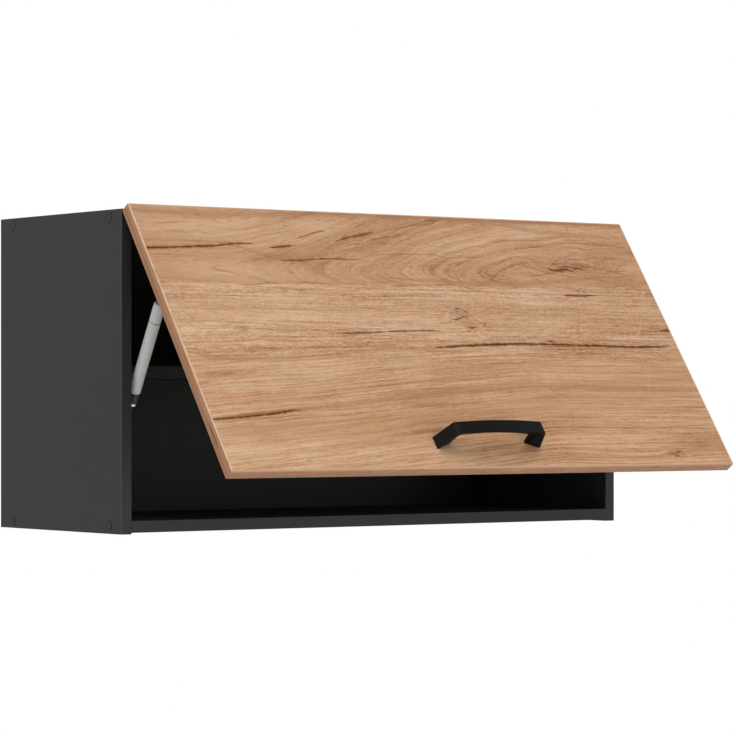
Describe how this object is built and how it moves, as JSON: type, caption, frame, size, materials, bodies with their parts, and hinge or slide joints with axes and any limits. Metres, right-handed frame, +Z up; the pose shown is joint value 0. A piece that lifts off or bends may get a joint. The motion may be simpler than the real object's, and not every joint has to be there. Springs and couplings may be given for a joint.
{
  "type": "wall cabinet",
  "caption": "Wide, low wall cabinet in dark board with a shelf and a top-hinged oak flap, held up by gas struts and pulled by a black bow handle.",
  "frame": {"origin": "midway between the two hanging holes, on the wall plane of the boards' back edges", "axes": "+X to the right of someone facing the cabinet, +Y into the wall, +Z up"},
  "size_m": [0.8014, 0.5583, 0.41],
  "materials": {
    "dark_board": "matt dark grey melamine",
    "dark_edging": "matt dark grey edging",
    "hardboard": "dark lacquered hardboard",
    "oak_board": "satin oak decor with rough grain",
    "oak_edging": "oak coloured edging",
    "black_metal": "matt black powder coat",
    "plated_steel": "nickel plated",
    "zinc_steel": "zinc plated",
    "strut_grey": "satin light grey paint",
    "strut_black": "matt black nylon",
    "bright_steel": "polished",
    "cap_plastic": "matt dark grey",
    "clear_rubber": "soft translucent"
  },
  "bodies": {
    "carcass": {"side_panel_left": "dark_board", "side_panel_right": "dark_board", "top_panel": "dark_board", "bottom_panel": "dark_board", "back_panel": "hardboard", "carcass_edge_bands": "dark_edging", "shelf": "dark_board", "shelf_pins": "plated_steel", "carcass_screws": "zinc_steel", "screw_caps": "cap_plastic", "back_nails": "zinc_steel", "hanging_plate_left": "zinc_steel", "hanging_plate_right": "zinc_steel", "hanging_screws": "zinc_steel", "hinge_plate_left": "plated_steel", "hinge_plate_right": "plated_steel", "hinge_plate_screws": "zinc_steel", "hinge_arm_left": "plated_steel", "hinge_arm_right": "plated_steel", "hinge_arm_screws": "zinc_steel", "strut_wall_bracket_left": "zinc_steel", "strut_wall_bracket_right": "zinc_steel", "wall_bracket_screws": "zinc_steel"},
    "flap": {"flap_panel": "oak_board", "flap_edge_bands": "oak_edging", "flap_bumpers": "clear_rubber", "handle": "black_metal", "handle_screws": "zinc_steel", "hinge_cup_left": "plated_steel", "hinge_cup_right": "plated_steel", "hinge_pins": "plated_steel", "hinge_cup_screws": "zinc_steel", "strut_flap_bracket_left": "zinc_steel", "strut_flap_bracket_right": "zinc_steel", "flap_bracket_screws": "zinc_steel"},
    "left_strut_barrel": {"strut_eye_left": "strut_black", "strut_cap_left": "strut_grey", "strut_tube_left": "strut_grey", "strut_collar_left": "strut_black", "strut_ring_left": "bright_steel"},
    "left_strut_rod": {"strut_rod_left": "bright_steel", "strut_foot_left": "strut_black"},
    "right_strut_barrel": {"strut_eye_right": "strut_black", "strut_cap_right": "strut_grey", "strut_tube_right": "strut_grey", "strut_collar_right": "strut_black", "strut_ring_right": "bright_steel"},
    "right_strut_rod": {"strut_rod_right": "bright_steel", "strut_foot_right": "strut_black"}
  },
  "joints": [
    {"name": "flap_hinge", "type": "hinge", "parent": "carcass", "child": "flap", "pos_m": [0, -0.3085, 0.029], "axis": [-1, 0, 0], "range_deg": [-35.2, 39.8]},
    {"name": "left_strut_turn", "type": "hinge", "parent": "flap", "child": "left_strut_barrel", "pos_m": [-0.372, -0.35467, -0.06681], "axis": [1, 0, 0], "range_deg": [-38.62, 43.62]},
    {"name": "left_strut_slide", "type": "slide", "parent": "left_strut_barrel", "child": "left_strut_rod", "axis": [0, 0.4791, -0.8778], "range_m": [-0.06246, 0.07059]},
    {"name": "right_strut_turn", "type": "hinge", "parent": "flap", "child": "right_strut_barrel", "pos_m": [0.372, -0.35467, -0.06681], "axis": [1, 0, 0], "range_deg": [-38.62, 43.62]},
    {"name": "right_strut_slide", "type": "slide", "parent": "right_strut_barrel", "child": "right_strut_rod", "axis": [0, 0.4791, -0.8778], "range_m": [-0.06246, 0.07059]}
  ],
  "couplings": [
    {"joint": "left_strut_turn", "follows": "flap_hinge", "ratio": 1.0885},
    {"joint": "left_strut_slide", "follows": "flap_hinge", "m_per_rad": 0.10118},
    {"joint": "right_strut_turn", "follows": "flap_hinge", "ratio": 1.0885},
    {"joint": "right_strut_slide", "follows": "flap_hinge", "m_per_rad": 0.10118}
  ]
}
